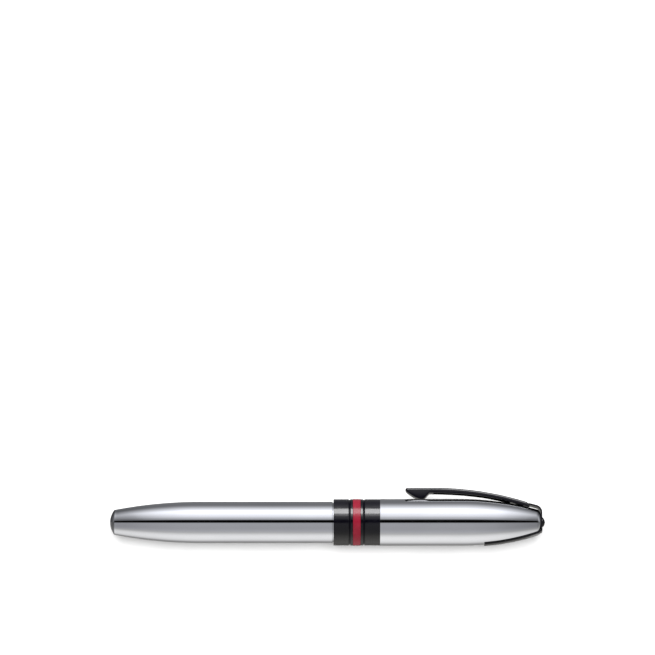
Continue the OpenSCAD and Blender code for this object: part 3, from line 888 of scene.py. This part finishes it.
def converter_knob():
    """The fluted turning knob with its threaded hollow stem."""
    x0, x1, knob_r = span("converter_knob")
    stem_x, stem_r, bore, bore_x, chamfer = -50.1, 2.3, 1.25, -54.5, 0.2
    flutes, flute_depth, flute_fade = 24, 0.16, 0.5
    thread_depth, thread_pitch = 0.3, 1.25
    outline = eased([(x0, 0), (x0, knob_r - 0.3, 0.2), (x0 + 0.35, knob_r, 0.2), (x0 + 1, knob_r)])
    outline += [(x, knob_r) for x in steps(x0 + 1.2, stem_x - 1.2, 20)]
    outline += eased([(stem_x - 1, knob_r), (stem_x - chamfer, knob_r, 0.2),
                      (stem_x, knob_r - chamfer), (stem_x, stem_r)])
    outline += [(x, stem_r) for x in steps(stem_x + 0.2, x1 - chamfer, 150)]
    outline += [(x1, stem_r - chamfer), (x1, bore), (bore_x, bore), (bore_x, 0)]
    screw = thread(stem_x + 1, x1 - 0.5, stem_r, thread_depth, thread_pitch)

    def form(x, r, a):
        if abs(r - knob_r) > 1e-3:
            return screw(x, r, a)
        fade = max(0, min(1, (x - x0 - 0.9) / flute_fade, (stem_x - 0.9 - x) / flute_fade))
        return r - flute_depth * fade * (0.5 + 0.5 * math.cos(flutes * a)) ** 2

    turned("converter_knob", outline, closed=False, reach=form, segments=192)


def piston():
    """The piston's head with its two soft seals, and its rod."""
    x0, x1, head_r = span("piston_head")
    seal_w, inset, floor_r, seal_r = 0.7, 0.4, 2.3, 2.97
    starts = (x0 + inset, x1 - inset - seal_w)
    corners = [(x0, 0), (x0, head_r, 0.15)]
    bm = bmesh.new()
    for x in starts:
        end = x + seal_w
        corners += [(x, head_r, 0.05), (x, floor_r), (end, floor_r), (end, head_r, 0.05)]
        seal = [(x, floor_r), (x, seal_r, 0.3), (end, seal_r, 0.3), (end, floor_r)]
        add_turned(bm, eased(seal, closed=True), closed=True, segments=SMALL_SEGMENTS)
    corners += [(x1, head_r, 0.25), (x1, 0)]
    turned("piston_head", eased(corners), closed=False, segments=SMALL_SEGMENTS)
    finish_mesh("piston_seals", bm)
    x0, x1, rod_r = span("piston_rod")
    turned("piston_rod", eased([(x0, 0), (x0, rod_r, 0.25), (x1, rod_r, 0.05), (x1, 0)]),
           closed=False, segments=64)


# ---------------------------------------------------------------- studio

def studio_world(toward_camera, picture_up):
    """Walls, lights and a dark slot round the pen, by the angle from the camera's direction.

    The brightness is soft below the camera's direction, has a thin dark slot just above it, and
    then a long bright wall. Both sides fade towards the ends of the pen.
    """
    world = bpy.data.worlds.new("studio")
    bpy.context.scene.world = world
    world.use_nodes = True
    tree = world.node_tree
    tree.nodes.clear()

    def maths(operation, a, b=None):
        """An operation on sockets or numbers."""
        made = add_node(tree, "Math", operation=operation)
        for socket, value in ((0, a), (1, b)):
            if isinstance(value, (int, float)):
                made.inputs[socket].default_value = value
            elif value is not None:
                tree.links.new(value, made.inputs[socket])
        return made.outputs[0]

    def facing(axis):
        """How far the direction of a ray points along an axis."""
        made = add_node(tree, "VectorMath", operation="DOT_PRODUCT")
        tree.links.new(coords, made.inputs[0])
        made.inputs[1].default_value = axis
        return made.outputs["Value"]

    def curve(value, low, high, points, peak):
        """Brightness through (angle in degrees, brightness) points, squared for depth."""
        made = add_node(tree, "FloatCurve")
        line = made.mapping.curves[0]
        made.mapping.use_clip = False
        for i, (angle, bright) in enumerate(points):
            at = ((angle - low) / (high - low), math.sqrt(bright / peak))
            if i < 2:
                line.points[i].location = at
            else:
                line.points.new(*at)
        made.mapping.update()
        share = maths("DIVIDE", maths("SUBTRACT", value, low), high - low)
        tree.links.new(share, made.inputs["Value"])
        return maths("MULTIPLY", maths("MULTIPLY", made.outputs[0], made.outputs[0]), peak)

    coords = add_node(tree, "TexCoord").outputs["Generated"]
    turn = maths("ARCTAN2", facing(picture_up), facing(toward_camera))
    across = maths("MULTIPLY", turn, 360 / TAU)
    tilt = maths("MULTIPLY", maths("ARCSINE", facing((1, 0, 0))), 360 / TAU)

    lower = curve(across, -180, 180, [
        (-180, 0.3), (-150, 0.35), (-138, 0.45), (-125, 0.8), (-112, 1.1), (-90, 1.25),
        (-73, 1.05), (-60, 0.7), (-47, 0.56), (-35, 0.5), (-7, 0.5), (-2, 0.3), (1.5, 0.0),
        (90, 0.0), (180, 0.0)], 1.3)
    upper = curve(across, -180, 180, [
        (-180, 0.0), (0, 0.0), (9, 0.01), (12, 0.06), (15, 0.45), (19, 0.68), (25, 0.84),
        (30, 1.15), (36, 1.32), (42, 1.5), (48, 1.7), (55, 1.87), (62, 1.95), (68, 1.85),
        (74, 1.5), (81, 1.18), (89, 0.84), (97, 0.57), (105, 0.37), (115, 0.26), (150, 0.26),
        (180, 0.3)], 2)
    lower_fade = curve(tilt, -90, 90, [
        (-90, 0.1), (-60, 0.2), (-40, 0.5), (-20, 0.85), (0, 1.0), (12, 0.95), (20, 0.8),
        (30, 0.67), (45, 0.5), (60, 0.35), (90, 0.2)], 1)
    upper_fade = curve(tilt, -90, 90, [
        (-90, 0.3), (-60, 0.2), (-45, 0.16), (-30, 0.22), (-20, 0.33), (-15, 0.58), (-8, 0.85),
        (0, 1.0), (12, 0.93), (20, 0.68), (27, 0.42), (34, 0.26), (60, 0.3), (90, 0.5)], 1)
    ends = curve(tilt, -90, 90, [
        (-90, 0.06), (-60, 0.08), (-42, 0.05), (-32, 0.0), (0, 0.0), (38, 0.0), (60, 0.1),
        (90, 0.1)], 1)
    sides = maths("ADD", maths("MULTIPLY", lower, lower_fade), maths("MULTIPLY", upper, upper_fade))
    warmth = curve(across, -180, 180, [(-180, 1.0), (-62, 1.0), (-40, 0.0), (180, 0.0)], 1)
    tint = add_node(tree, "Mix", data_type="RGBA")
    tint.inputs["A"].default_value = (0.985, 0.99, 1.0, 1)
    tint.inputs["B"].default_value = (0.985, 0.975, 0.93, 1)
    tree.links.new(warmth, tint.inputs["Factor"])
    room = add_node(tree, "Background")
    tree.links.new(tint.outputs["Result"], room.inputs["Color"])
    tree.links.new(maths("ADD", sides, ends), room.inputs["Strength"])
    backdrop = add_node(tree, "Background")
    backdrop.inputs["Color"].default_value = (0.96, 0.965, 0.97, 1)
    backdrop.inputs["Strength"].default_value = 1.0
    mix = add_node(tree, "MixShader")
    tree.links.new(add_node(tree, "LightPath").outputs["Is Camera Ray"], mix.inputs["Fac"])
    tree.links.new(room.outputs[0], mix.inputs[1])
    tree.links.new(backdrop.outputs[0], mix.inputs[2])
    tree.links.new(mix.outputs[0], add_node(tree, "OutputWorld").inputs["Surface"])


def floor():
    """Pale paper that the pen lies on."""
    half_size, gap = 2.0, 2e-5
    recipe = Recipe("floor_paper", Roughness=0.9, Specular_IOR_Level=0.0,
                    Emission_Color=(1, 1, 1, 1), Emission_Strength=0.3)
    recipe.colour(recipe.spread(recipe.noise(60, 3), 0, 1), (0.17, 0.17, 0.17), (0.18, 0.18, 0.18))
    bm = bmesh.new()
    bmesh.ops.create_grid(bm, x_segments=8, y_segments=8, size=half_size)
    mesh = bpy.data.meshes.new("floor")
    bm.to_mesh(mesh)
    bm.free()
    mesh.materials.append(recipe.material)
    sheet = bpy.data.objects.new("floor", mesh)
    sheet.location = (0, 0, cad_low[2] - gap)
    bpy.context.scene.collection.objects.link(sheet)
    sheet.visible_glossy = False
    return sheet


def area_light(name, size, power, location, turn, lit_pieces, glossy=False):
    """A light that the camera doesn't see and that lights only some pieces.

    The turn is in degrees, from shining straight down, about the pen's axis.
    """
    data = bpy.data.lights.new(name, "AREA")
    data.shape = "RECTANGLE"
    data.size, data.size_y = size
    data.energy = power
    lamp = bpy.data.objects.new(name, data)
    lamp.location = location
    lamp.rotation_euler = (math.radians(-turn), 0, 0)
    lamp.visible_camera = False
    lamp.visible_glossy = glossy
    bpy.context.scene.collection.objects.link(lamp)
    lit = bpy.data.collections.new("lit_by_" + name)
    for piece in lit_pieces:
        lit.objects.link(piece)
    lamp.light_linking.receiver_collection = lit


def floor_light(sheet):
    """A wide softbox overhead that lights the floor and lets the pen throw its soft shadow."""
    height, near, far, length, power = 1.0, -0.25, 0.70, 1.0, 95
    place = (0, (near + far) / 2, height)
    area_light("floor_light", (length, far - near), power, place, 0, [sheet])


def strip_light(name, turn, width, radiance, looks, glossy=True):
    """A long light beside the pen for the pieces of some looks, turned from overhead in degrees."""
    distance, length, middle_x = 0.4, 0.36, 0.01
    angle = math.radians(turn)
    place = (middle_x, distance * math.sin(angle), distance * math.cos(angle))
    power = radiance * math.pi * length * width
    pieces = [piece for piece in bpy.data.objects
              if piece.type == "MESH" and piece.active_material in looks]
    area_light(name, (length, width), power, place, turn, pieces, glossy)


def camera():
    """A long lens nearly overhead. The pen lies low in the picture.

    Returns the directions from the pen to the camera and up the picture.
    """
    distance, picture_w, sensor = 1.5, 0.2064, 36.0
    pen_below_middle = 0.0614
    tilt = math.radians(8.0)
    lens_tilt = tilt + math.atan(pen_below_middle / distance)
    data = bpy.data.cameras.new("camera")
    data.sensor_width = sensor
    data.lens = sensor * distance / picture_w
    data.clip_start, data.clip_end = 0.05, 20
    eye = bpy.data.objects.new("camera", data)
    back = Vector((0, -math.sin(lens_tilt), math.cos(lens_tilt)))
    up = Vector((0, math.cos(lens_tilt), math.sin(lens_tilt)))
    eye.location = up * pen_below_middle + back * distance
    eye.rotation_euler = (lens_tilt, 0, 0)
    bpy.context.scene.collection.objects.link(eye)
    bpy.context.scene.camera = eye
    toward = Vector((0, -math.sin(tilt), math.cos(tilt)))
    picture_up = Vector((0, math.cos(tilt), math.sin(tilt)))
    return toward, picture_up


def colours():
    """Plain colours, without a film look."""
    settings = bpy.context.scene.view_settings
    settings.view_transform = "Standard"
    settings.look = "None"


dress_cad_nodes()
cap_shell()
cap_band()
crown_strap()
crown_button()
clip_arm()
cap_inside()
crown_fittings()
clip_pin()
barrel_shell()
barrel_inside()
snap_ring()
grip_section()
section_coupling()
nib_housing()
nib()
feed()
converter_body()
converter_knob()
piston()
studio_world(*camera())
floor_light(floor())
strip_light("gloss_light", 49.5, 0.19, 13, (BLACK, RED))
strip_light("gloss_spill", 34, 0.14, 2.2, (BLACK, RED))
strip_light("red_light", -45, 0.3, 4.2, (RED,), glossy=False)
colours()
